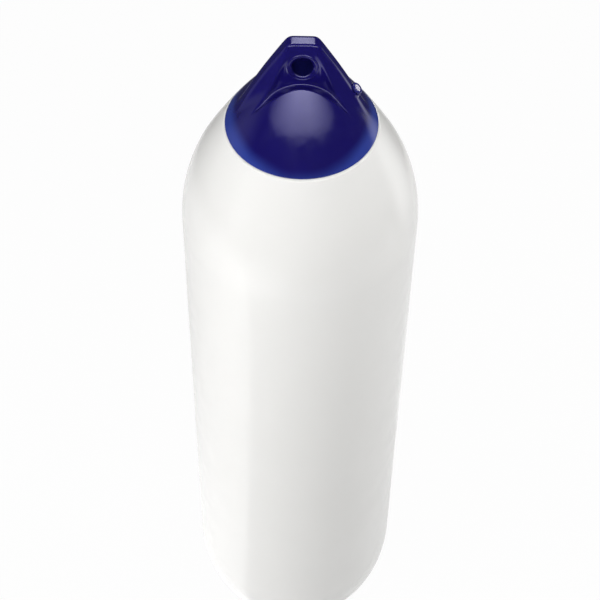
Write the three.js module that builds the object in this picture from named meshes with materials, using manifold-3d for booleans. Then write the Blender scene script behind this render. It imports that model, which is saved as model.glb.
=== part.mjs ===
// Inflatable cylindrical boat fender, hanging from the rope eye of its moulded end cap.
// Millimetres, +Z up. The origin is the centre of the rope eye, and the eye runs along Y.
import * as THREE from 'three';
import { mergeVertices } from 'three/addons/utils/BufferGeometryUtils.js';
import Module from 'manifold-3d';

const wasm = await Module();
wasm.setup();

const degrees = (angle) => angle * Math.PI / 180;

// White tube
const tubeDiameter = 216;
const straightLength = 540;
const shoulderRadius = 180.4; // arc from the tube's wall into the end
const shoulderTurn = degrees(28);
const flankRadius = 725; // long, almost straight arc above the shoulder
const aroundSteps = 72;

// Blue rope hold, a cap over the tube's upper end
const rimDiameter = 133.8;
const capSkin = 5; // thickness of the cap at its rim
const capDomeRadius = 460;
const fitGap = 0.3; // between pieces that are moulded or screwed together

// Lug with the rope eye, a plate that widens downwards into the dome
const eyeDiameter = 17;
const eyeMouthRound = 3.7;
const eyeAboveRim = 73;
const lugTopAboveEye = 23.3;
const lugTopWidth = 25;
const lugTopChamfer = 3;
const railThickness = 12; // outer faces of the lug, across Y
const railEdgeRound = 1.6;
const railLean = degrees(31.6); // from the vertical
const railKneeAboveRim = 44.5; // the rail steepens here to run out on the dome
const railFootLean = degrees(22);
const railFootAboveRim = 12;
const lugFaceLean = degrees(17);
const railFaceSlope = degrees(42); // of the rail's face, from its outer edge inwards

// Recess in each face of the lug, behind the hump of the dome
const webThickness = 18.6; // at the eye
const webLean = degrees(5);
const webHalfWidth = 15; // at the eye
const webSideLean = degrees(17); // the web widens downwards
const recessSideSlope = degrees(36);
const humpFromCentre = 21; // the hump's upper edge lies this far from the lug's middle plane
const troughDrop = 7; // floor of the recess below the hump's edge, at the middle
const troughHalfWidth = 42.3; // the floor runs out on the dome this far to each side
const troughEndAboveRim = 28;

// Inflation valve at the foot of one rail. Its axis points up and outwards, so that its
// seat is a pocket in the rail on one side and stands on a boss on the other.
const valveAboveRim = 41.6; // where the axis leaves the rail's outer face
const valveLean = degrees(46); // of the axis, above the horizontal
const valveSeatDepth = 0.4; // below the rail's face, on the axis
const valveBossDiameter = 12;
const valvePocketGap = 0.5; // round the flange
const valveFlangeDiameter = 10.4;
const valveFlangeHeight = 2.4;
const valveFlangeChamfer = 0.6;
const valveSleeveDiameter = 8.6;
const valveSleeveLength = 12;
const valveHeadDiameter = 6.6;
const valveHeadHeight = 1.2;
const valveHeadChamfer = 0.4;
const valveHeadRecess = 2.7; // counterbore that holds the seal and the head
const valveSealThickness = 0.5;
const valveSealWidth = 1; // of the ring itself
const valveShankDiameter = 4;
const valveShankLength = 8;
const valveShankChamfer = 0.7;
const valveSlotWidth = 1;
const valveSlotDepth = 0.7;
const valveSteps = 28;

// Worked out from the sizes above
const tubeRadius = tubeDiameter / 2;
const rimRadius = rimDiameter / 2;
const eyeRadius = eyeDiameter / 2;
const rimZ = -eyeAboveRim;
const lugTopZ = lugTopAboveEye;
const kneeZ = rimZ + railKneeAboveRim;
const footZ = rimZ + railFootAboveRim;
const kneeHalfWidth = lugTopWidth / 2 + (lugTopZ - kneeZ) * Math.tan(railLean);
const valveZ = rimZ + valveAboveRim;
const valveX = kneeHalfWidth + (kneeZ - valveZ) * Math.tan(railFootLean);
const valveFrame = new THREE.Matrix4()
  .makeTranslation(valveX, 0, valveZ)
  .multiply(new THREE.Matrix4().makeRotationY(Math.PI / 2 - valveLean))
  .multiply(new THREE.Matrix4().makeTranslation(0, 0, -valveSeatDepth));
const shoulderRise = shoulderRadius * Math.sin(shoulderTurn);
const shoulderTopRadius = tubeRadius - shoulderRadius * (1 - Math.cos(shoulderTurn));
const flankCentreRadius = shoulderTopRadius - flankRadius * Math.cos(shoulderTurn);
const rimTurn = Math.acos((rimRadius - flankCentreRadius) / flankRadius);
const flankRise = flankRadius * (Math.sin(rimTurn) - Math.sin(shoulderTurn));
const tubeTopZ = rimZ - shoulderRise - flankRise;
const tubeBottomZ = tubeTopZ - straightLength;
const seatRadius = rimRadius - capSkin * Math.cos(rimTurn);
const seatZ = rimZ - capSkin * Math.sin(rimTurn);
const crownRadius = seatRadius / Math.cos(rimTurn);
const crownCentreZ = seatZ - crownRadius * Math.sin(rimTurn);
const lowerCrownRadius = rimRadius / Math.cos(rimTurn);
const domeCentreRadius = rimRadius - capDomeRadius * Math.cos(rimTurn);
const domeCentreZ = rimZ - capDomeRadius * Math.sin(rimTurn);
const humpTopTurn = Math.acos((humpFromCentre - domeCentreRadius) / capDomeRadius);
const humpTopZ = domeCentreZ + capDomeRadius * Math.sin(humpTopTurn);
const troughZ = humpTopZ - troughDrop;
const troughEndZ = rimZ + troughEndAboveRim;

function toSolid(geometry) {
  const bare = geometry.clone();
  bare.deleteAttribute('normal');
  bare.deleteAttribute('uv');
  const merged = mergeVertices(bare, 1e-4);
  const index = merged.index.array;
  const faces = [];
  for (let i = 0; i < index.length; i += 3) {
    const [a, b, c] = [index[i], index[i + 1], index[i + 2]];
    if (a !== b && b !== c && c !== a) faces.push(a, b, c);
  }
  const vertProperties = new Float32Array(merged.attributes.position.array);
  const triVerts = new Uint32Array(faces);
  return new wasm.Manifold(new wasm.Mesh({ numProp: 3, vertProperties, triVerts }));
}

function toGeometry(solid) {
  const mesh = solid.getMesh();
  const geometry = new THREE.BufferGeometry();
  geometry.setAttribute('position', new THREE.BufferAttribute(mesh.vertProperties, 3));
  geometry.setIndex(new THREE.BufferAttribute(mesh.triVerts, 1));
  geometry.computeVertexNormals();
  return geometry;
}

// Points of an arc in the half plane (distance from the axis, height), ends included
function arc(centreR, centreZ, radius, from, to, steps) {
  return Array.from({ length: steps + 1 }, (_, i) => {
    const angle = from + (to - from) * i / steps;
    return new THREE.Vector2(centreR + radius * Math.cos(angle), centreZ + radius * Math.sin(angle));
  });
}

// A closed profile turned about the Z axis; it runs upwards on its outer side
function turned(profile, steps) {
  const onAxis = profile.map((p) => new THREE.Vector2(Math.max(p.x, 0), p.y));
  return new THREE.LatheGeometry(onAxis, steps).rotateX(Math.PI / 2);
}

// A closed outline given by corner points, extruded by a length and centred on it
function extruded(points, length) {
  const shape = new THREE.Shape(points.map(([x, y]) => new THREE.Vector2(x, y)));
  const geometry = new THREE.ExtrudeGeometry(shape, { depth: length, bevelEnabled: false });
  return geometry.translate(0, 0, -length / 2);
}

function makeBody() {
  const halfPi = Math.PI / 2;
  const flankCentreInset = (flankRadius - shoulderRadius) * Math.sin(shoulderTurn);
  const lowerFlankCentreZ = tubeBottomZ + flankCentreInset;
  const upperFlankCentreZ = tubeTopZ - flankCentreInset;
  const lowerRimZ = tubeBottomZ - shoulderRise - flankRise;
  const lowerCrownZ = lowerRimZ + lowerCrownRadius * Math.sin(rimTurn);
  const profile = [
    ...arc(0, lowerCrownZ, lowerCrownRadius, -halfPi, -rimTurn, 8),
    ...arc(flankCentreRadius, lowerFlankCentreZ, flankRadius, -rimTurn, -shoulderTurn, 2).slice(1),
    ...arc(tubeRadius - shoulderRadius, tubeBottomZ, shoulderRadius, -shoulderTurn, 0, 5).slice(1),
    ...arc(tubeRadius - shoulderRadius, tubeTopZ, shoulderRadius, 0, shoulderTurn, 5),
    ...arc(flankCentreRadius, upperFlankCentreZ, flankRadius, shoulderTurn, rimTurn, 2).slice(1),
    ...arc(0, crownCentreZ, crownRadius - fitGap, rimTurn, halfPi, 8),
  ];
  return turned(profile, aroundSteps);
}

// The dome's outer form, closed below
function makeCapDome() {
  const tipTurn = Math.acos(-domeCentreRadius / capDomeRadius);
  const profile = [
    new THREE.Vector2(0, seatZ),
    new THREE.Vector2(rimRadius, seatZ),
    ...arc(domeCentreRadius, domeCentreZ, capDomeRadius, rimTurn, tipTurn, 10),
  ];
  return toSolid(turned(profile, aroundSteps));
}

// What the tube's crown and the step at the rim take out of the cap, with the gap between them
function makeSeat() {
  const out = capSkin * 2;
  const rimStepZ = rimZ + fitGap;
  const profile = [
    new THREE.Vector2(0, seatZ - out),
    new THREE.Vector2(rimRadius + out * Math.cos(rimTurn), seatZ - out),
    new THREE.Vector2(rimRadius + out * Math.cos(rimTurn), rimStepZ + out * Math.sin(rimTurn)),
    new THREE.Vector2(seatRadius, seatZ + fitGap),
    ...arc(0, crownCentreZ, crownRadius, rimTurn, Math.PI / 2, 8).slice(1),
  ];
  return toSolid(turned(profile, aroundSteps));
}

// Corner points of a quarter round from one direction to the next
function round(x, y, radius, from, to, steps = 3) {
  return Array.from({ length: steps + 1 }, (_, i) => {
    const angle = from + (to - from) * i / steps;
    return [x + radius * Math.cos(angle), y + radius * Math.sin(angle)];
  });
}

const mirrored = (points) => points.map(([x, y]) => [-x, y]).reverse();

// The lug seen from its edge: flat top, faces that lean out until they reach the hump's plane
function lugSideBlock() {
  const half = railThickness / 2;
  const fullZ = lugTopZ - (humpFromCentre - half) / Math.tan(lugFaceLean);
  const right = [
    [humpFromCentre, footZ],
    [humpFromCentre, fullZ],
    ...round(half - railEdgeRound, lugTopZ - railEdgeRound, railEdgeRound, 0, Math.PI / 2),
  ];
  const outline = [...right, ...mirrored(right)];
  return toSolid(extruded(outline, 4 * rimRadius).rotateX(Math.PI / 2).rotateZ(Math.PI / 2));
}

// Everything on the inner side of one rail: flat outer face, rounded edges, sloping faces.
// It runs along the rail, which leans by the given angle and passes through (x, z).
function railBlock(x, z, lean, side) {
  const half = railThickness / 2;
  const reach = 3 * rimRadius;
  const slopeEnd = (humpFromCentre - half) / Math.tan(railFaceSlope);
  const front = [
    ...round(-railEdgeRound, half - railEdgeRound, railEdgeRound, 0, Math.PI / 2),
    [-slopeEnd, humpFromCentre],
    [-slopeEnd, humpFromCentre + 1],
    [-reach, humpFromCentre + 1],
  ];
  const back = front.map(([u, v]) => [u, -v]).reverse();
  const geometry = extruded([...front, ...back], 2 * reach);
  return toSolid(geometry.rotateY(-lean).translate(x, 0, z).rotateZ(side > 0 ? 0 : Math.PI));
}

function makeLug() {
  const chamferLean = (railLean + Math.PI / 2) / 2;
  let lug = lugSideBlock();
  for (const side of [1, -1]) {
    lug = lug.intersect(railBlock(kneeHalfWidth, kneeZ, railLean, side));
    lug = lug.intersect(railBlock(kneeHalfWidth, kneeZ, railFootLean, side));
    lug = lug.intersect(railBlock(lugTopWidth / 2 - lugTopChamfer / 2, lugTopZ, chamferLean, side));
  }
  return lug;
}

// The dish in the lug's face at -Y: a flat web that widens downwards, between sloping sides
function recessDish() {
  const half = webThickness / 2;
  const depth = 2 * humpFromCentre;
  const sideReach = webHalfWidth + (depth - half) / Math.tan(recessSideSlope);
  const outline = [
    [-sideReach, -half],
    [-sideReach, -depth],
    [sideReach, -depth],
    [webHalfWidth, -half],
  ];
  const sides = [outline, mirrored(outline)].map((points, i) => {
    const block = extruded(points, 4 * eyeAboveRim).rotateY(i === 0 ? -webSideLean : webSideLean);
    return toSolid(block.rotateX(-webLean));
  });
  return sides[0].intersect(sides[1]);
}

// What is cut from one face of the lug: the dish, closed below by an arched trough
// behind the edge of the hump
function makeRecess(face) {
  const floor = new THREE.QuadraticBezierCurve(
    new THREE.Vector2(-troughHalfWidth, troughEndZ),
    new THREE.Vector2(0, 2 * troughZ - troughEndZ),
    new THREE.Vector2(troughHalfWidth, troughEndZ),
  );
  const arch = floor.getPoints(16).map((p) => [p.x, p.y]);
  const above = [...arch, [troughHalfWidth, lugTopZ], [-troughHalfWidth, lugTopZ]];
  const slab = extruded(above, humpFromCentre).rotateX(Math.PI / 2).translate(0, -humpFromCentre / 2, 0);
  const recess = recessDish().intersect(toSolid(slab));
  return face > 0 ? recess : recess.rotate([0, 0, 180]);
}

// Rope eye along Y, with rounded mouths that follow the lean of the web
function makeEye() {
  const half = webThickness / 2;
  const hole = toSolid(new THREE.CylinderGeometry(eyeRadius, eyeRadius, 4 * humpFromCentre, 32));
  const mouthRadius = eyeRadius + eyeMouthRound;
  const profile = [
    new THREE.Vector2(0, half - eyeMouthRound),
    ...arc(mouthRadius, half - eyeMouthRound, eyeMouthRound, Math.PI, Math.PI / 2, 4),
    new THREE.Vector2(mouthRadius, half + eyeMouthRound),
    new THREE.Vector2(0, half + eyeMouthRound),
  ];
  const mouth = new THREE.LatheGeometry(profile, 32);
  const front = toSolid(mouth.clone().rotateX(Math.PI).rotateX(-webLean));
  const back = toSolid(mouth.clone().rotateX(webLean));
  return hole.add(front).add(back);
}

// A cylinder on the valve's axis, between two heights above the seat of its flange
function onValveAxis(diameter, from, to) {
  const cylinder = new THREE.CylinderGeometry(diameter / 2, diameter / 2, to - from, valveSteps);
  cylinder.rotateX(Math.PI / 2).translate(0, 0, (from + to) / 2);
  return toSolid(cylinder.applyMatrix4(valveFrame));
}

// Boss below the valve's flange, cut away above its seat and bored for its sleeve
const valveBoss = () => onValveAxis(valveBossDiameter, -railThickness, 0);
const valvePocket = () => onValveAxis(valveFlangeDiameter + 2 * valvePocketGap, 0, railThickness);
const valveBore = () => onValveAxis(valveSleeveDiameter + 2 * fitGap, -valveSleeveLength - fitGap, 1);

function makeRopeHold() {
  return makeCapDome()
    .add(makeLug())
    .add(valveBoss())
    .subtract(makeRecess(1))
    .subtract(makeRecess(-1))
    .subtract(makeEye())
    .subtract(valvePocket())
    .subtract(valveBore())
    .subtract(makeSeat());
}

// Sleeve with a flange; its counterbore holds the seal and the head of the screw
function makeValveInsert() {
  const passage = valveShankDiameter / 2 + fitGap;
  const counterbore = valveHeadDiameter / 2 + fitGap;
  const seat = valveFlangeHeight - valveHeadRecess;
  const profile = [
    [passage, -valveSleeveLength],
    [valveSleeveDiameter / 2, -valveSleeveLength],
    [valveSleeveDiameter / 2, 0],
    [valveFlangeDiameter / 2, 0],
    [valveFlangeDiameter / 2, valveFlangeHeight - valveFlangeChamfer],
    [valveFlangeDiameter / 2 - valveFlangeChamfer, valveFlangeHeight],
    [counterbore, valveFlangeHeight],
    [counterbore, seat],
    [passage, seat],
    [passage, -valveSleeveLength],
  ].map(([r, z]) => new THREE.Vector2(r, z + fitGap));
  return turned(profile, valveSteps);
}

function makeValveSeal() {
  const inner = valveHeadDiameter / 2 - valveSealWidth;
  const outer = valveHeadDiameter / 2;
  const bottom = valveFlangeHeight - valveHeadRecess + 2 * fitGap;
  const top = bottom + valveSealThickness;
  const profile = [[inner, bottom], [outer, bottom], [outer, top], [inner, top], [inner, bottom]];
  return turned(profile.map(([r, z]) => new THREE.Vector2(r, z)), valveSteps);
}

// Slotted plug that closes the valve
function makeValveScrew() {
  const headZ = valveFlangeHeight - valveHeadRecess + valveSealThickness + 3 * fitGap;
  const topZ = headZ + valveHeadHeight;
  const tipZ = headZ - valveShankLength;
  const shank = valveShankDiameter / 2;
  const head = valveHeadDiameter / 2;
  const profile = [
    [0, tipZ],
    [shank - valveShankChamfer, tipZ],
    [shank, tipZ + valveShankChamfer],
    [shank, headZ],
    [head, headZ],
    [head, topZ - valveHeadChamfer],
    [head - valveHeadChamfer, topZ],
    [0, topZ],
  ].map(([r, z]) => new THREE.Vector2(r, z));
  const slot = new THREE.BoxGeometry(2 * valveHeadDiameter, valveSlotWidth, 2 * valveSlotDepth);
  return toSolid(turned(profile, valveSteps)).subtract(toSolid(slot.translate(0, 0, topZ)));
}

function part(name, geometry, colour, roughness, metalness) {
  const material = new THREE.MeshStandardMaterial({ color: colour, roughness, metalness });
  const mesh = new THREE.Mesh(geometry, material);
  mesh.name = name;
  return mesh;
}

const valve = new THREE.Group();
valve.applyMatrix4(valveFrame);
valve.add(part('valve_insert', makeValveInsert(), 0x1b1c6b, 0.25, 0));
valve.add(part('valve_seal', makeValveSeal(), 0x111111, 0.6, 0));
valve.add(part('valve_screw', toGeometry(makeValveScrew()), 0xe8e6f2, 0.3, 0));

const group = new THREE.Group();
group.add(part('body', makeBody(), 0xf1f0ec, 0.22, 0));
group.add(part('rope_hold', toGeometry(makeRopeHold()), 0x1a1a6e, 0.2, 0));
group.add(valve);
export default group;
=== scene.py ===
# Inflatable boat fender: white vinyl body, navy rope hold with its eye, and the inflation valve.
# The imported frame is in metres: +Z up, the origin at the centre of the rope eye, the eye along Y.
# The dictionaries below hold millimetres and degrees, and mm turns them into metres.
import math

import bmesh
import bpy
import numpy as np
from mathutils import Matrix, Vector


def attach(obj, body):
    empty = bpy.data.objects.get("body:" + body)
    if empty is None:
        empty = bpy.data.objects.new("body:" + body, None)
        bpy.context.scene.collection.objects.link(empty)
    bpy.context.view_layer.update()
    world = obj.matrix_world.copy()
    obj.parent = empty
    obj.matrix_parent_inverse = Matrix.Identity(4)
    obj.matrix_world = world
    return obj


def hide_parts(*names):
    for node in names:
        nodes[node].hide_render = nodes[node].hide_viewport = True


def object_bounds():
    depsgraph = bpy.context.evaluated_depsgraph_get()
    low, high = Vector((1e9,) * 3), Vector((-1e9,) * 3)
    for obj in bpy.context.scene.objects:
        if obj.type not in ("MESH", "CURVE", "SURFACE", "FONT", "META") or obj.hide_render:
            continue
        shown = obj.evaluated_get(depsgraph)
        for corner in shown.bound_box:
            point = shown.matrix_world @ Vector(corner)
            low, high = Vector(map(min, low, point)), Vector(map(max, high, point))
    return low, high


mm = 0.001

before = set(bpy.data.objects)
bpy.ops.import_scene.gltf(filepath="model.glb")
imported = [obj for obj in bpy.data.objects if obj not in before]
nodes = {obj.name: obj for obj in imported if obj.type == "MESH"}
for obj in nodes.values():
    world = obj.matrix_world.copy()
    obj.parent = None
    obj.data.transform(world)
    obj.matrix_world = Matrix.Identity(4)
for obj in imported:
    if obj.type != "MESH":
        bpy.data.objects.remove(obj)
cadBox = [list(corner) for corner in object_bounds()]
print("frame loaded:", sorted(nodes))

# What the pieces share
fender = {
    "tubeDiameter": 216,
    "straightLength": 540,
    "shoulderRadius": 180.4,  # arc from the tube's wall into each end
    "shoulderTurn": 28,
    "flankRadius": 725,  # long arc above the shoulder
    "rimDiameter": 133.8,  # of the rope hold, where it ends flush on the flank
    "capSkin": 5,
    "eyeAboveRim": 73,
    "gap": 0.3,  # between pieces that are moulded or screwed together
}


# Heights and radii where the arcs of the fender's profile meet, from its driving sizes.
def meetingSizes(f):
    turn = math.radians(f["shoulderTurn"])
    tube, rim = f["tubeDiameter"] / 2, f["rimDiameter"] / 2
    shoulderTop = tube - f["shoulderRadius"] * (1 - math.cos(turn))
    flankCentre = shoulderTop - f["flankRadius"] * math.cos(turn)
    rimTurn = math.acos((rim - flankCentre) / f["flankRadius"])
    flankRise = f["flankRadius"] * (math.sin(rimTurn) - math.sin(turn))
    rimZ = -f["eyeAboveRim"]
    tubeTop = rimZ - f["shoulderRadius"] * math.sin(turn) - flankRise
    seatRadius = rim - f["capSkin"] * math.cos(rimTurn)
    seatZ = rimZ - f["capSkin"] * math.sin(rimTurn)
    crown = seatRadius / math.cos(rimTurn)
    return {
        "tube": tube, "rim": rim, "turn": turn, "rimTurn": rimTurn, "rimZ": rimZ,
        "flankCentre": flankCentre, "tubeTop": tubeTop, "tubeBottom": tubeTop - f["straightLength"],
        "flankInset": (f["flankRadius"] - f["shoulderRadius"]) * math.sin(turn),
        "endRise": f["shoulderRadius"] * math.sin(turn) + flankRise,
        "crown": crown, "crownCentre": seatZ - crown * math.sin(rimTurn),
        "lowerCrown": rim / math.cos(rimTurn),
    }


at = meetingSizes(fender)


# A piece from a grid of points, rows along it and columns around it, in millimetres.
# A first or last row that lies on the axis becomes one pole vertex.
def gridMesh(name, points, closed=True):
    rows, columns = points.shape[:2]
    flat = points.reshape(-1, 3) * mm
    i, j = np.meshgrid(np.arange(rows - 1), np.arange(columns if closed else columns - 1), indexing="ij")
    nextJ = (j + 1) % columns
    near, far = i * columns, (i + 1) * columns
    quads = np.stack([near + j, near + nextJ, far + nextJ, far + j], -1)
    mesh = bpy.data.meshes.new(name)
    mesh.from_pydata(flat.tolist(), [], quads.reshape(-1, 4).tolist())
    work = bmesh.new()
    work.from_mesh(mesh)
    bmesh.ops.remove_doubles(work, verts=work.verts, dist=1e-7)
    bmesh.ops.dissolve_degenerate(work, edges=work.edges, dist=1e-8)
    bmesh.ops.recalc_face_normals(work, faces=work.faces)
    work.to_mesh(mesh)
    work.free()
    return addPiece(name, mesh)


# A smooth-shaded object of the mesh, linked to the scene, at the origin and unscaled
def addPiece(name, mesh):
    piece = bpy.data.objects.new(name, mesh)
    bpy.context.scene.collection.objects.link(piece)
    mesh.polygons.foreach_set("use_smooth", np.ones(len(mesh.polygons), bool))
    mesh.update()
    return piece


# Points (r, z) of an arc about (centreR, centreZ), from one angle to another, both included.
def arcPoints(centreR, centreZ, radius, start, end, steps):
    angle = np.linspace(start, end, steps + 1)
    return np.stack([centreR + radius * np.cos(angle), centreZ + radius * np.sin(angle)], 1)


# A surface of revolution: x = r cos a, y = r sin a, z = z, for each profile point (r, z).
def turned(name, profile, around):
    angle = np.arange(around) * 2 * math.pi / around
    r, z = np.maximum(profile[:, :1], 0), profile[:, 1:]
    points = np.stack([r * np.cos(angle), r * np.sin(angle), z + 0 * angle], -1)
    return gridMesh(name, points)


# White body
bodyLook = {"around": 288, "straightRows": 60, "shoulderRows": 44, "flankRows": 14, "crownRows": 36}


# The tube's profile turned about Z: lower crown, flank, shoulder, tube, shoulder, flank, crown.
def makeBody():
    b, half = bodyLook, math.pi / 2
    tubeRows = np.linspace(at["tubeBottom"], at["tubeTop"], b["straightRows"] + 1)[1:-1]
    lowerCrownZ = at["tubeBottom"] - at["endRise"] + at["lowerCrown"] * math.sin(at["rimTurn"])
    shoulderCentre = at["tube"] - fender["shoulderRadius"]
    lowerFlankZ, upperFlankZ = at["tubeBottom"] + at["flankInset"], at["tubeTop"] - at["flankInset"]
    profile = np.concatenate([
        arcPoints(0, lowerCrownZ, at["lowerCrown"], -half, -at["rimTurn"], b["crownRows"]),
        arcPoints(at["flankCentre"], lowerFlankZ, fender["flankRadius"], -at["rimTurn"], -at["turn"],
                  b["flankRows"])[1:],
        arcPoints(shoulderCentre, at["tubeBottom"], fender["shoulderRadius"], -at["turn"], 0,
                  b["shoulderRows"])[1:],
        np.stack([np.full_like(tubeRows, at["tube"]), tubeRows], 1),
        arcPoints(shoulderCentre, at["tubeTop"], fender["shoulderRadius"], 0, at["turn"],
                  b["shoulderRows"]),
        arcPoints(at["flankCentre"], upperFlankZ, fender["flankRadius"], at["turn"], at["rimTurn"],
                  b["flankRows"])[1:],
        arcPoints(0, at["crownCentre"], at["crown"] - fender["gap"], at["rimTurn"], half, b["crownRows"]),
    ])
    return turned("fenderBody", profile, b["around"])


# Rope hold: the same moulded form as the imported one, with its edges rounded
hold = {
    "domeRadius": 460,
    "eyeDiameter": 17, "eyeMouth": 3.7, "beadWidth": 1.1, "beadSink": 0.12, "beadFillet": 0.5,
    "lugTop": 23.3, "topWidth": 25, "topCorner": 3, "lugThickness": 12, "faceLean": 17,
    "railLean": 31.6, "kneeAboveRim": 44.5, "kneeRound": 6, "footLean": 22, "railFaceSlope": 42,
    "web": 18.6, "webLean": 5, "webHalf": 15, "webSideLean": 17, "sideSlope": 36,
    "hump": 21, "troughDrop": 7, "troughHalf": 42.3, "troughEndAboveRim": 28,
    "edge": 2.2, "lipEdge": 2.0, "fillet": 3.0, "recessFillet": 2.2, "rimEdge": 1.2,
}
valve = {
    "aboveRim": 41.6, "lean": 46, "seatDepth": 0.4, "bossDiameter": 12, "pocketGap": 0.5,
    "bossEdge": 0.9, "bossFillet": 1.6,
    "flangeDiameter": 10.4, "flangeHeight": 2.4, "flangeEdge": 0.6,
    "sleeveDiameter": 8.6, "sleeveLength": 12,
    "headDiameter": 6.6, "headHeight": 1.2, "headEdge": 0.4, "headRecess": 2.7,
    "sealThickness": 0.5, "sealWidth": 1.0,
    "shankDiameter": 4, "shankLength": 8, "shankEdge": 0.7, "slotWidth": 1, "slotDepth": 0.7,
    "around": 96, "sleeveRound": (0.15, 3, 30), "screwRound": (0.12, 2, 40),  # width, steps, least turn
}


# Middle of the dome's arc, as radius and height: one dome radius back from the rim along the rim's turn
def domeMiddle():
    return (at["rim"] - hold["domeRadius"] * math.cos(at["rimTurn"]),
            at["rimZ"] - hold["domeRadius"] * math.sin(at["rimTurn"]))


# Where the rail's outer face changes its lean: the top's half width plus the drop times the lean's tangent
def railKnee():
    z = at["rimZ"] + hold["kneeAboveRim"]
    return hold["topWidth"] / 2 + (hold["lugTop"] - z) * math.tan(math.radians(hold["railLean"])), z


# The larger of two fields, with a round of about the given reach where they cross.
def softMax(a, b, reach):
    h = np.maximum(reach - np.abs(a - b), 0) / reach
    return np.maximum(a, b) + h * h * reach / 4


# The smaller of two fields: minus the soft larger of their negatives
def softMin(a, b, reach):
    return -softMax(-a, -b, reach)


# Outer face of a rail and the face that slopes away from it, both leaning by the same angle.
def railFields(x, y, z, kneeX, kneeZ, lean):
    slope = math.radians(hold["railFaceSlope"])
    out = (x - kneeX) * math.cos(lean) + (z - kneeZ) * math.sin(lean)
    sloping = out * math.sin(slope) + (y - hold["lugThickness"] / 2) * math.cos(slope)
    return out, sloping


# Distance to the lug: the meeting of its flat top, leaning faces and the two rails.
def lugField(x, y, z):
    h = hold
    lean, foot = math.radians(h["railLean"]), math.radians(h["footLean"])
    face = math.radians(h["faceLean"])
    kneeX, kneeZ = railKnee()
    cornerLean = (lean + math.pi / 2) / 2
    top = z - h["lugTop"]
    side = (y - h["lugThickness"] / 2) * math.cos(face) + (z - h["lugTop"]) * math.sin(face)
    side = softMax(side, y - h["hump"], h["edge"])
    railOut, railSlope = railFields(x, y, z, kneeX, kneeZ, lean)
    footOut, footSlope = railFields(x, y, z, kneeX, kneeZ, foot)
    out = softMax(railOut, footOut, h["kneeRound"])
    slope = softMax(railSlope, footSlope, h["kneeRound"])
    corner = ((x - h["topWidth"] / 2 + h["topCorner"] / 2) * math.cos(cornerLean)
              + (z - h["lugTop"]) * math.sin(cornerLean))
    field = softMax(top, corner, h["edge"])
    field = softMax(field, out, h["edge"])
    field = softMax(field, side, h["edge"])
    return softMax(field, slope, h["edge"])


# Distance to the space cut from each face: above the arched floor, outside the leaning web,
# between the sloping sides and short of the hump's plane.
def recessField(x, y, z):
    h = hold
    lean, sideLean = math.radians(h["webLean"]), math.radians(h["webSideLean"])
    slope = math.radians(h["sideSlope"])
    outward = y * math.cos(lean) + z * math.sin(lean)
    up = z * math.cos(lean) - y * math.sin(lean)
    across = x * math.cos(sideLean) + up * math.sin(sideLean)
    web = h["web"] / 2 - outward
    side = (across - h["webHalf"]) * math.sin(slope) - (outward - h["web"] / 2) * math.cos(slope)
    domeCentre, domeZ = domeMiddle()
    humpTop = domeZ + math.sqrt(h["domeRadius"] ** 2 - (h["hump"] - domeCentre) ** 2)
    floorZ, endZ = humpTop - h["troughDrop"], at["rimZ"] + h["troughEndAboveRim"]
    arch = floorZ + (endZ - floorZ) * (x / h["troughHalf"]) ** 2
    steep = 2 * (endZ - floorZ) * x / h["troughHalf"] ** 2
    floor = (arch - z) / np.sqrt(1 + steep ** 2)
    field = softMax(web, side, h["recessFillet"])
    field = softMax(field, floor, h["recessFillet"])
    field = softMax(field, x - h["troughHalf"], h["recessFillet"])
    return softMax(field, y - h["hump"], h["recessFillet"])


# Middle of the valve's seat, its outward direction, and a direction across it.
def valveFrame():
    kneeX, kneeZ = railKnee()
    z = at["rimZ"] + valve["aboveRim"]
    x = kneeX + (kneeZ - z) * math.tan(math.radians(hold["footLean"]))
    lean = math.radians(valve["lean"])
    out = np.array([math.cos(lean), 0, math.sin(lean)])
    across = np.array([math.sin(lean), 0, -math.cos(lean)])
    return np.array([x, 0, z]) - valve["seatDepth"] * out, out, across


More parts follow.
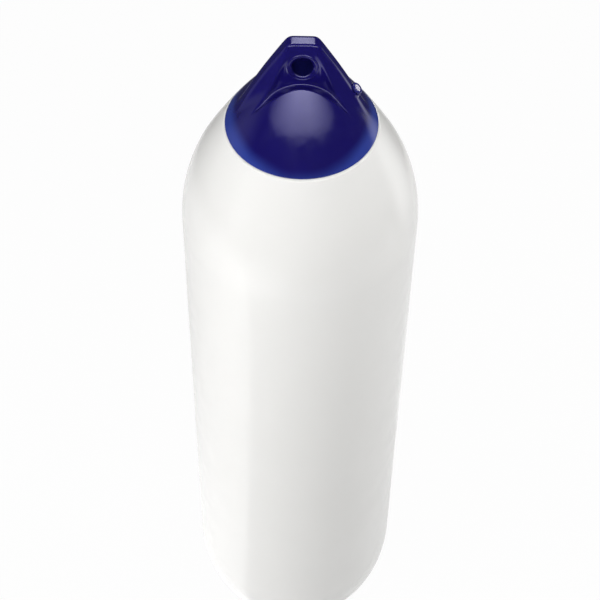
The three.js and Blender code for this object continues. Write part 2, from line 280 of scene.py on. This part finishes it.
# Distance to the whole rope hold, negative inside it: dome, lug and valve boss joined softly, less
# the valve's pocket, the recesses, the eye with its rounded mouth, the valve's bore and what lies under
# the seat. The bead is a thin ring around the mouth.
def holdField(p):
    h = hold
    x, y, z = np.abs(p[:, 0]), np.abs(p[:, 1]), p[:, 2]
    r = np.hypot(x, y)
    domeCentre, domeZ = domeMiddle()
    dome = np.hypot(r - domeCentre, z - domeZ) - h["domeRadius"]
    field = softMin(dome, lugField(x, y, z), h["fillet"])
    seat, out, across = valveFrame()
    fromSeat = p - seat
    height = fromSeat @ out
    spread = np.linalg.norm(fromSeat - height[:, None] * out, axis=1)
    boss = softMax(spread - valve["bossDiameter"] / 2, height, valve["bossEdge"])
    boss = np.maximum(boss, -height - h["lugThickness"])
    field = softMin(field, boss, valve["bossFillet"])
    pocket = spread - valve["flangeDiameter"] / 2 - valve["pocketGap"]
    field = softMax(field, np.minimum(height, -pocket), valve["bossEdge"])
    field = softMax(field, -recessField(x, y, z), h["lipEdge"])
    lean = math.radians(h["webLean"])
    hole = h["eyeDiameter"] / 2 - np.hypot(x, z)
    outward = y * math.cos(lean) + z * math.sin(lean) - h["web"] / 2
    ring = np.hypot(x, z * math.cos(lean) - y * math.sin(lean)) - h["eyeDiameter"] / 2 - h["eyeMouth"]
    mouth = np.hypot(np.maximum(-ring, 0), np.maximum(outward + h["eyeMouth"], 0)) - h["eyeMouth"]
    near = (ring < 1) & (outward < 2.5)  # the mouth's round holds only near the web
    field = np.maximum(field, np.where(near, np.maximum(hole, mouth), -50))
    bead = np.hypot(ring - h["beadWidth"] / 2, outward + h["beadSink"]) - h["beadWidth"] / 2
    field = softMin(field, bead, h["beadFillet"])
    bore = np.maximum(spread - valve["sleeveDiameter"] / 2 - fender["gap"],
                      -height - valve["sleeveLength"] - fender["gap"])
    field = np.maximum(field, -bore)
    seatStep = -((r - at["rim"]) * -math.sin(at["rimTurn"])
                 + (z - at["rimZ"] - fender["gap"]) * math.cos(at["rimTurn"]))
    field = softMax(field, seatStep, h["rimEdge"])
    crown = at["crown"] - np.hypot(r, z - at["crownCentre"])
    return np.maximum(field, crown)


# The field's gradient at each point, by central differences.
def slopeOf(field, p, step=0.05):
    shifts = np.eye(3) * step
    return np.stack([field(p + s) - field(p - s) for s in shifts], 1) / (2 * step)


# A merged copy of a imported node, because its mesh is loose triangles.
def meshOfNode(name, node):
    mesh = nodes[node].data.copy()
    mesh.name = name
    work = bmesh.new()
    work.from_mesh(mesh)
    bmesh.ops.remove_doubles(work, verts=work.verts, dist=1e-6)
    work.to_mesh(mesh)
    work.free()
    return addPiece(name, mesh)


# Cuts the chosen faces into four, and what borders them into triangles.
def splitFaces(mesh, chosen):
    work = bmesh.new()
    work.from_mesh(mesh)
    work.faces.ensure_lookup_table()
    edges = {edge for i in np.flatnonzero(chosen) for edge in work.faces[i].edges}
    bmesh.ops.subdivide_edges(work, edges=list(edges), cuts=1, use_grid_fill=True)
    bmesh.ops.triangulate(work, faces=[face for face in work.faces if len(face.verts) > 4])
    work.to_mesh(mesh)
    work.free()


# The middle of each face, in millimetres
def faceMiddles(mesh):
    middles = np.empty(len(mesh.polygons) * 3, np.float32)
    mesh.polygons.foreach_get("center", middles)
    return middles.reshape(-1, 3).astype(float) / mm


# How the rope hold's skin is made: its first grid, and how many rounds even it out and draw it to the form
skinning = {
    "voxel": 0.85, "rounds": 10, "draws": 2, "driftShare": 0.5, "longestMove": 0.6, "leastSlope": 0.25,
    "eyeZone": 3, "valveZone": 9.5, "beadZone": 1.2, "beadFrom": 6,  # where its faces are cut finer
}


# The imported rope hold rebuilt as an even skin, whose points are then drawn onto the field above,
# and spread evenly between the draws.
def makeRopeHold():
    piece = meshOfNode("ropeHold", "rope_hold")
    remesh = piece.modifiers.new("evenSkin", "REMESH")
    remesh.mode = "VOXEL"
    remesh.voxel_size = skinning["voxel"] * mm
    graph = bpy.context.evaluated_depsgraph_get()
    skin = bpy.data.meshes.new_from_object(piece.evaluated_get(graph))
    piece.modifiers.clear()
    piece.data = skin
    seat = valveFrame()[0]
    beadInner = hold["eyeDiameter"] / 2 + hold["eyeMouth"]
    k = skinning
    middles = faceMiddles(skin)
    fromEye = np.hypot(middles[:, 0], middles[:, 2])
    fromSeat = np.linalg.norm(middles - seat, axis=1)
    splitFaces(skin, (fromEye < beadInner + k["eyeZone"]) | (fromSeat < k["valveZone"]))
    middles = faceMiddles(skin)
    fromEye = np.hypot(middles[:, 0], middles[:, 2])
    onBead = np.abs(fromEye - beadInner - 0.5) < k["beadZone"]
    splitFaces(skin, onBead & (np.abs(middles[:, 1]) > k["beadFrom"]))
    count = len(skin.vertices)
    points = np.empty(count * 3, np.float32)
    skin.vertices.foreach_get("co", points)
    points = points.reshape(-1, 3).astype(float) / mm
    edges = np.empty(len(skin.edges) * 2, np.int32)
    skin.edges.foreach_get("vertices", edges)
    edges = edges.reshape(-1, 2)
    degree = np.bincount(edges.ravel(), minlength=count)[:, None]
    for _ in range(k["rounds"]):
        total = np.zeros_like(points)
        for axis in range(3):
            total[:, axis] = (np.bincount(edges[:, 0], points[edges[:, 1], axis], count)
                              + np.bincount(edges[:, 1], points[edges[:, 0], axis], count))
        gradient = slopeOf(holdField, points)
        normal = gradient / np.maximum(np.linalg.norm(gradient, axis=1, keepdims=True), 1e-6)
        drift = total / degree - points
        points += k["driftShare"] * (drift - normal * np.sum(drift * normal, 1, keepdims=True))
        for _ in range(k["draws"]):
            gradient = slopeOf(holdField, points)
            size = np.maximum(np.sum(gradient ** 2, 1), k["leastSlope"])
            move = holdField(points) / size
            points -= np.clip(move, -k["longestMove"], k["longestMove"])[:, None] * gradient
    skin.vertices.foreach_set("co", (points * mm).astype(np.float32).ravel())
    skin.polygons.foreach_set("use_smooth", np.ones(len(skin.polygons), bool))
    skin.update()
    print("rope hold:", count, "points, largest field", float(np.abs(holdField(points)).max()))
    return piece


# Carries a valve piece from its own frame, with Z outwards, to the seat at the rail's foot.
def seatOnValve(piece):
    seat, out, across = valveFrame()
    side = np.cross(out, across)
    place = np.eye(4)
    place[:3] = np.stack([across, side, out, seat * mm], 1)
    place = Matrix(place.tolist())
    piece.data.transform(place)
    piece.data.update()
    return piece


# Rounds every edge that turns by more than the angle
def addBevel(piece, width, segments, angle):
    bevel = piece.modifiers.new("rounded", "BEVEL")
    bevel.width = width * mm
    bevel.segments = segments
    bevel.limit_method = "ANGLE"
    bevel.angle_limit = math.radians(angle)
    return piece


# Sleeve and flange as one closed profile: passage, counterbore for the head, flange edge chamfered
def makeValveInsert():
    v, gap = valve, fender["gap"]
    passage, counterbore = v["shankDiameter"] / 2 + gap, v["headDiameter"] / 2 + gap
    seat = v["flangeHeight"] - v["headRecess"]
    flange, sleeve = v["flangeDiameter"] / 2, v["sleeveDiameter"] / 2
    profile = np.array([
        [passage, -v["sleeveLength"]], [sleeve, -v["sleeveLength"]], [sleeve, 0], [flange, 0],
        [flange, v["flangeHeight"] - v["flangeEdge"]], [flange - v["flangeEdge"], v["flangeHeight"]],
        [counterbore, v["flangeHeight"]], [counterbore, seat], [passage, seat],
        [passage, -v["sleeveLength"]],
    ], float) + [0, gap]
    return addBevel(seatOnValve(turned("valveSleeve", profile, v["around"])), *v["sleeveRound"])


# Washer of elliptic section: half the ring's width across, half its thickness high
def makeValveSeal():
    v, gap = valve, fender["gap"]
    outer, inner = v["headDiameter"] / 2, v["headDiameter"] / 2 - v["sealWidth"]
    low = v["flangeHeight"] - v["headRecess"] + 2 * gap
    high = low + v["sealThickness"]
    angle = np.linspace(0, 2 * math.pi, 25)
    middle, height = (outer + inner) / 2, (low + high) / 2
    profile = np.stack([middle + (outer - inner) / 2 * np.cos(angle),
                        height + (high - low) / 2 * np.sin(angle)], 1)
    return seatOnValve(turned("valveWasher", profile, v["around"]))


# Plug turned from its profile, shank chamfered and head edge rounded, with a slot cut across the head
def makeValveScrew():
    v, gap = valve, fender["gap"]
    headZ = v["flangeHeight"] - v["headRecess"] + v["sealThickness"] + 3 * gap
    topZ, tipZ = headZ + v["headHeight"], headZ - v["shankLength"]
    shank, head = v["shankDiameter"] / 2, v["headDiameter"] / 2
    edge = arcPoints(head - v["headEdge"], topZ - v["headEdge"], v["headEdge"], 0, math.pi / 2, 6)
    profile = np.concatenate([
        np.array([[0, tipZ], [shank - v["shankEdge"], tipZ], [shank, tipZ + v["shankEdge"]],
                  [shank, headZ], [head, headZ]], float), edge, np.array([[0, topZ]], float)])
    piece = turned("valvePlug", profile, v["around"])
    slotMesh = bpy.data.meshes.new("slotCutter")
    work = bmesh.new()
    bmesh.ops.create_cube(work, size=1)
    work.to_mesh(slotMesh)
    work.free()
    slotMesh.transform(Matrix.Diagonal((2 * v["headDiameter"] * mm, v["slotWidth"] * mm,
                                        2 * v["slotDepth"] * mm, 1)))
    slotMesh.transform(Matrix.Translation((0, 0, topZ * mm)))
    cutter = bpy.data.objects.new("slotCutter", slotMesh)
    bpy.context.scene.collection.objects.link(cutter)
    cut = piece.modifiers.new("slot", "BOOLEAN")
    cut.object = cutter
    cut.operation = "DIFFERENCE"
    cut.solver = "EXACT"
    graph = bpy.context.evaluated_depsgraph_get()
    piece.data = bpy.data.meshes.new_from_object(piece.evaluated_get(graph))
    piece.modifiers.clear()
    bpy.data.objects.remove(cutter)
    return addBevel(seatOnValve(piece), *v["screwRound"])


# Wraps a socket, so that + - * on it add Math nodes to its tree.
class Wire:
    def __init__(self, shader, socket):
        self.shader, self.socket = shader, socket

    def _maths(self, operation, a, b):
        return self.shader.add("ShaderNodeMath", {"operation": operation}, {0: a, 1: b})

    def __add__(self, other):
        return self._maths("ADD", self, other)

    def __radd__(self, other):
        return self._maths("ADD", other, self)

    def __sub__(self, other):
        return self._maths("SUBTRACT", self, other)

    def __mul__(self, other):
        return self._maths("MULTIPLY", self, other)


# A material's node tree, with one method that adds any node and wires its sockets.
class Shader:
    def __init__(self, name):
        self.material = bpy.data.materials.new(name)
        self.material.use_nodes = True
        self.tree = self.material.node_tree
        self.surface = self.tree.nodes["Principled BSDF"]
        self.output = self.tree.nodes["Material Output"]

    # A node of the kind, its settings and inputs filled in, given back as one of its outputs
    def add(self, kind, settings=None, inputs=None, out=0):
        node = self.tree.nodes.new(kind)
        for key, value in (settings or {}).items():
            setattr(node, key, value)
        for key, value in (inputs or {}).items():
            self.join(value, node.inputs[key])
        return Wire(self, node.outputs[out])

    # Links a wire to the socket, or sets a plain value on it
    def join(self, value, socket):
        if isinstance(value, Wire):
            self.tree.links.new(value.socket, socket)
        else:
            socket.default_value = value

    # Inputs of the Principled shader, with _ for the blanks in their names
    def set(self, **inputs):
        for key, value in inputs.items():
            self.join(value, self.surface.inputs[key.replace("_", " ")])

    def place(self):  # the point on the piece, in metres
        return self.add("ShaderNodeTexCoord", out="Object")

    def noise(self, scale, detail):  # scale is how many waves there are to a metre
        return self.add("ShaderNodeTexNoise", {}, {
            "Vector": self.place(), "Scale": scale, "Detail": detail})

    def blend(self, factor, a, b):  # colour a at factor 0, b at 1
        return self.add("ShaderNodeMix", {"data_type": "RGBA"}, {0: factor, 6: a, 7: b}, out=2)

    # Runs from toLow to toHigh as the value runs from low to high, and stays there beyond them
    def limit(self, value, low, high, toLow=0.0, toHigh=1.0, smooth=True):
        kind = "SMOOTHSTEP" if smooth else "LINEAR"
        return self.add("ShaderNodeMapRange", {"interpolation_type": kind}, {
            0: value, 1: low, 2: high, 3: toLow, 4: toHigh})

    # A bump from noise, given as its scale, strength and depth in metres, on top of an earlier bump
    def bump(self, relief, **earlier):
        scale, strength, depth = relief
        inputs = {"Height": self.noise(scale, 2), "Strength": strength, "Distance": depth}
        return self.add("ShaderNodeBump", {}, {**inputs, **earlier})

    # Uneven gloss, and a fine peel under slow waves, as moulded vinyl has
    def vinylSkin(self, look):
        self.set(Roughness=self.limit(self.noise(look["glossScale"], 3), 0.3, 0.7, *look["roughness"]))
        self.set(Normal=self.bump(look["waves"], Normal=self.bump(look["peel"])))

    # Sends a shader other than the Principled one to the surface
    def show(self, shader):
        self.tree.links.new(shader.socket, self.output.inputs["Surface"])

    # Vector maths on a and b: out 1 gives its number, out 0 its vector
    def vector(self, operation, a, b=(0, 0, 0), out=1):
        return self.add("ShaderNodeVectorMath", {"operation": operation}, {0: a, 1: b}, out)


whiteVinyl = {
    "pale": (0.80, 0.795, 0.775, 1), "paler": (0.83, 0.825, 0.81, 1), "toneScale": 9,
    "roughness": (0.16, 0.26), "glossScale": 26, "ior": 1.5,
    "peel": (420, 0.05, 0.0002), "waves": (7, 0.25, 0.0012),  # noise scale, bump strength, depth in metres
}


# Two close whites, mixed by slow noise
def makeWhiteVinyl():
    s = Shader("whiteVinyl")
    w = whiteVinyl
    s.set(Base_Color=s.blend(s.noise(w["toneScale"], 3), w["pale"], w["paler"]), IOR=w["ior"])
    s.vinylSkin(w)
    return s.material


navyVinyl = {
    "deep": (0.0098, 0.007, 0.113, 1), "deeper": (0.006, 0.0035, 0.082, 1),
    "thinSkinAndSheen": (0.025, 0.045, 0.27, 1), "toneScale": 30,
    "thinBand": (8, -6), "sheenSideRise": 12, "sides": (10, 68),  # brighter band at the rim where the skin is thin, raised at the sides as a painted sheen
    "edgeScale": 40, "edgeWander": 4,
    "bore": (0.003, 0.003, 0.045, 1), "boreRoughness": 0.9, "boreGloss": 0.02, "boreShadeFade": (0.9, 0.1),
    "gloss": (0.67, 0.66, 1, 1), "ior": 1.65, "roughness": (0.08, 0.15), "glossScale": 90,
    "peel": (600, 0.06, 0.0001), "waves": (60, 0.2, 0.0003),
}


# Deep navy, brighter at the rim where the skin is thin over the white body; that band climbs higher at the
# left and right as a painted sheen. In the bore it is dark and matt, as painted shade.
def makeNavyVinyl():
    s = Shader("navyVinyl")
    n = navyVinyl
    place = s.place()
    height = s.add("ShaderNodeSeparateXYZ", {}, {0: place}, "Z")
    across = s.add("ShaderNodeSeparateXYZ", {}, {0: place}, "X")
    side = s.add("ShaderNodeMath", {"operation": "ABSOLUTE"}, {0: across})
    # Painted sheen: towards the left and right the bright rim band reaches higher, by up to the side rise.
    height = height - s.limit(side, *[x * mm for x in n["sides"]]) * (n["sheenSideRise"] * mm)
    height = height + (s.noise(n["edgeScale"], 2) - 0.5) * (n["edgeWander"] * mm)
    thinSkinAndSheen = s.limit(height, *[(at["rimZ"] + z) * mm for z in n["thinBand"]])
    deep = s.blend(s.noise(n["toneScale"], 3), n["deep"], n["deeper"])
    s.set(Base_Color=s.blend(thinSkinAndSheen, deep, n["thinSkinAndSheen"]), IOR=n["ior"], Specular_Tint=n["gloss"])
    s.vinylSkin(n)
    # Painted shade in the eye's bore: a darker navy with almost no gloss is mixed in towards the bore's
    # wall.
    fromAxis = s.vector("LENGTH", s.vector("MULTIPLY", place, (1, 0, 1), 0))
    bore = s.limit(fromAxis, *[(hold["eyeDiameter"] / 2 + r) * mm for r in n["boreShadeFade"]])
    boreShade = s.add("ShaderNodeBsdfPrincipled", {}, {
        "Base Color": n["bore"], "Roughness": n["boreRoughness"], "Specular IOR Level": n["boreGloss"]})
    s.show(s.add("ShaderNodeMixShader", {}, {0: bore, 1: Wire(s, s.surface.outputs[0]), 2: boreShade}))
    return s.material


plastics = {
    "sleevePlastic": {"dark": (0.012, 0.012, 0.13, 1), "light": (0.02, 0.02, 0.17, 1),
                      "roughness": (0.2, 0.32), "grain": 0.1},
    "washerRubber": {"dark": (0.01, 0.01, 0.01, 1), "light": (0.02, 0.02, 0.02, 1),
                     "roughness": (0.5, 0.7), "grain": 0.2},
    "plugPlastic": {"dark": (0.62, 0.6, 0.72, 1), "light": (0.72, 0.7, 0.82, 1),
                    "roughness": (0.25, 0.35), "grain": 0.1},
}


# Moulded plastic or rubber: two close tones, an uneven gloss and a fine grain.
def makePlastic(name):
    s = Shader(name)
    look = plastics[name]
    s.set(Base_Color=s.blend(s.noise(500, 3), look["dark"], look["light"]))
    s.set(Roughness=s.limit(s.noise(900, 2), 0.3, 0.7, *look["roughness"]))
    s.set(Normal=s.bump((2500, look["grain"], 0.00005)))
    return s.material


# Gives a piece its material and its body, and hides the node it replaces.
def dress(piece, material, node):
    piece.data.materials.clear()
    piece.data.materials.append(material)
    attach(piece, "root")
    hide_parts(node)


# Floor, lights and camera
studio = {
    "floorBelow": 3, "floorSize": 12000, "floorWhite": (0.8, 0.8, 0.8, 1), "floorGlow": 0.96,
    "poolRadius": (1800, 1050), "poolEdge": 0.12, "poolLevel": 0.82,  # what gloss sees of the floor
    "stripRadius": 1.25, "stripLevel": 1.1,  # brighter sector at the left
    "stripEnds": ((-46, -1, 0.01), (-78, 1, 0.45)),  # angle from +X, side that is lit, softness in metres
    "spot": (-720, -1100), "spotRadius": 600, "spotEdge": 0.2, "spotLevel": 0.85,  # soft round glow
    "farLevel": 0.05, "ambient": 0.232, "glossAmbient": 0.04,
}
camera = {
    "lens": 102.28, "sensor": 36, "clip": (0.05, 50), "down": 52.11, "roll": 1.077,
    "side": 1.47, "back": 1024.46, "aboveRim": 1066.55,
}
# Lamps: where each stands and looks, its width and height, how bright it looks, and whether gloss shows it
lamps = {
    "leftLamp": {"at": (-930, -250, 1500), "to": (0, 0, -350), "size": (900, 900), "level": 1.04,
                 "shows": True},
    "backLamp": {"at": (0, 1000, 1190), "to": (0, 0, 20), "size": (900, 420), "level": 4.9, "shows": True},
    "keyFill": {"at": (-1640, -730, 600), "to": (0, 0, -400), "size": (1200, 1200), "level": 0.17,
                "shows": False},
    "shoulderFill": {"at": (-900, 700, 1800), "to": (0, 0, -200), "size": (900, 900), "level": 1.1,
                     "shows": False},
    "edgeFill": {"at": (900, 800, 1800), "to": (0, 0, -200), "size": (900, 900), "level": 1.1,
                 "shows": False},
    "lowFill": {"at": (-1790, -800, -300), "to": (0, 0, -450), "size": (1200, 900), "level": 6.1,
                "shows": False},
    "rightFill": {"at": (1770, 310, 200), "to": (0, 0, -300), "size": (1200, 1200), "level": 2.4,
                  "shows": False},
}
# Upright curved panels: half widths of the ellipse each is part of, the angles from the front that it
# spans, its heights, its brightness at those heights, and the angles over which its ends fade
panels = {
    "frontPanel": {"side": 2400, "front": 1500, "span": (-82, 78),
                   "levels": ((635, 1.95), (1000, 4.3), (1530, 7.7)), "fades": (-82, -12, 12, 78)},
    "rightPanel": {"side": 1300, "front": 1300, "span": (92, 138),
                   "levels": ((-900, 1.7), (-330, 1.7), (-205, 0)), "fades": (92, 106, 111, 138)},
    "leftPanel": {"side": 1300, "front": 1300, "span": (-128, -68),
                  "levels": ((-450, 0.3), (0, 0.3), (320, 0.1)), "fades": (-128, -105, -90, -68)},
}


# White to the camera. To gloss it is a pool of light with a brighter sector at the left.
def makeFloorPaint():
    s = Shader("paleFloor")
    f = studio
    s.set(Base_Color=f["floorWhite"], Roughness=0.9)
    s.surface.inputs["Specular IOR Level"].default_value = 0
    place = s.place()
    wide, deep = f["poolRadius"]
    away = s.vector("LENGTH", s.vector("MULTIPLY", place, (1 / (wide * mm), 1 / (deep * mm), 0), 0))
    edge = f["poolEdge"]
    pool = s.limit(away, 1 + edge, 1 - edge)
    strip = s.limit(away, f["stripRadius"] + edge, f["stripRadius"] - edge)
    for angle, sign, soft in f["stripEnds"]:
        turn = math.radians(angle)
        beyond = s.vector("DOT_PRODUCT", place, (sign * math.cos(turn), sign * math.sin(turn), 0))
        strip = strip * s.limit(beyond, -soft, soft)
    x, y = f["spot"]
    away = s.vector("DISTANCE", place, (x * mm, y * mm, cadBox[0][2] - f["floorBelow"] * mm))
    spot = s.limit(away, *[(1 + edge) * f["spotRadius"] * mm for edge in (f["spotEdge"], -f["spotEdge"])])
    level = f["farLevel"] + pool * f["poolLevel"] + strip * f["stripLevel"] + spot * f["spotLevel"]
    paths = s.add("ShaderNodeLightPath", out="Is Camera Ray")
    seen = paths + Wire(s, paths.socket.node.outputs["Is Transmission Ray"])
    glossy = Wire(s, paths.socket.node.outputs["Is Glossy Ray"])
    glow = s.add("ShaderNodeEmission", {}, {"Color": (1, 1, 1, 1), "Strength": seen + glossy * level})
    s.show(s.add("ShaderNodeMixShader", {}, {
        0: seen * f["floorGlow"] + glossy, 1: Wire(s, s.surface.outputs[0]), 2: glow}))
    return s.material


# A square just below the fender, wide enough to end beyond what is seen
def makeFloor():
    low = cadBox[0][2] - studio["floorBelow"] * mm
    half = studio["floorSize"] * mm / 2
    mesh = bpy.data.meshes.new("floor")
    mesh.from_pydata([(-half, -half, low), (half, -half, low), (half, half, low), (-half, half, low)],
                     [], [(0, 1, 2, 3)])
    floor = bpy.data.objects.new("floor", mesh)
    bpy.context.scene.collection.objects.link(floor)
    mesh.materials.append(makeFloorPaint())


# Glowing part of an upright elliptic cylinder: x = side sin a, y = -front cos a.
def makePanel(name, panel):
    angle = np.radians(np.linspace(*panel["span"], 49))
    (z0, low), (z1, middle), (z2, high) = panel["levels"]
    height = np.array([z0, z2], float)[:, None]
    points = np.stack([panel["side"] * np.sin(angle) + 0 * height,
                       -panel["front"] * np.cos(angle) + 0 * height, height + 0 * angle], -1)
    shown = gridMesh(name, points, closed=False)
    shown.visible_camera = False
    s = Shader(name + "Glow")
    place = s.place()
    up = s.add("ShaderNodeSeparateXYZ", {}, {0: place}, out="Z")
    level = (s.limit(up, z0 * mm, z1 * mm, low, middle, smooth=False)
             + s.limit(up, z1 * mm, z2 * mm, 0, high - middle, smooth=False))
    depth = s.vector("DOT_PRODUCT", place, (0, -1 / panel["front"], 0))
    width = s.vector("DOT_PRODUCT", place, (1 / panel["side"], 0, 0))
    turn = s.add("ShaderNodeMath", {"operation": "ARCTAN2"}, {0: width, 1: depth})
    start, full, fade, end = np.radians(panel["fades"]).tolist()
    level = level * s.limit(turn, start, full, smooth=False) * s.limit(turn, end, fade, smooth=False)
    s.show(s.add("ShaderNodeEmission", {}, {"Color": (1, 1, 1, 1), "Strength": level}))
    shown.data.materials.append(s.material)


# Area lamps, each with power = level x pi x area, so that level is how bright its face looks
def makeLamps():
    for name, lamp in lamps.items():
        light = bpy.data.lights.new(name, "AREA")
        light.shape = "RECTANGLE"
        light.size, light.size_y = lamp["size"][0] * mm, lamp["size"][1] * mm
        light.energy = lamp["level"] * math.pi * light.size * light.size_y
        box = bpy.data.objects.new(name, light)
        box.location = Vector(lamp["at"]) * mm
        aim = Vector(lamp["to"]) - Vector(lamp["at"])
        box.rotation_euler = aim.to_track_quat("-Z", "Y").to_euler()
        box.visible_camera = False
        box.visible_glossy = lamp["shows"]
        bpy.context.scene.collection.objects.link(box)


# White to the camera, dimmer to gloss, and a plain ambient level for everything else.
def makeWorld():
    world = bpy.data.worlds.new("paleRoom")
    world.use_nodes = True
    bpy.context.scene.world = world
    tree = world.node_tree
    paths = tree.nodes.new("ShaderNodeLightPath")
    seen = tree.nodes.new("ShaderNodeMath")
    seen.operation = "MAXIMUM"
    tree.links.new(paths.outputs["Is Camera Ray"], seen.inputs[0])
    tree.links.new(paths.outputs["Is Transmission Ray"], seen.inputs[1])
    gloss = tree.nodes.new("ShaderNodeMapRange")
    gloss.inputs[3].default_value = studio["ambient"]
    gloss.inputs[4].default_value = studio["glossAmbient"]
    tree.links.new(paths.outputs["Is Glossy Ray"], gloss.inputs[0])
    level = tree.nodes.new("ShaderNodeMix")
    tree.links.new(seen.outputs[0], level.inputs[0])
    tree.links.new(gloss.outputs[0], level.inputs[2])
    level.inputs[3].default_value = 1.0
    tree.links.new(level.outputs[0], tree.nodes["Background"].inputs["Strength"])
    tree.nodes["Background"].inputs["Color"].default_value = (1, 1, 1, 1)


# Looks down at the cap as the photograph does, from a place worked out from the outline.
def makeCamera():
    c = camera
    data = bpy.data.cameras.new("photoCamera")
    data.lens = c["lens"]
    data.sensor_width = c["sensor"]
    data.clip_start, data.clip_end = c["clip"]
    eye = bpy.data.objects.new("photoCamera", data)
    bpy.context.scene.collection.objects.link(eye)
    tilt = Matrix.Rotation(math.radians(90 - c["down"]), 4, "X")
    roll = Matrix.Rotation(math.radians(c["roll"]), 4, "Z")
    place = Matrix.Translation((c["side"] * mm, -c["back"] * mm, (c["aboveRim"] + at["rimZ"]) * mm))
    eye.matrix_world = place @ tilt @ roll
    bpy.context.scene.camera = eye


makeCamera()
makeFloor()
for name, panel in panels.items():
    makePanel(name, panel)
makeLamps()
makeWorld()
bpy.context.scene.view_settings.view_transform = "Standard"
print("studio ready")

dress(makeBody(), makeWhiteVinyl(), "body")
print("body made")
dress(makeRopeHold(), makeNavyVinyl(), "rope_hold")
dress(makeValveInsert(), makePlastic("sleevePlastic"), "valve_insert")
dress(makeValveSeal(), makePlastic("washerRubber"), "valve_seal")
dress(makeValveScrew(), makePlastic("plugPlastic"), "valve_screw")
print("valve made")
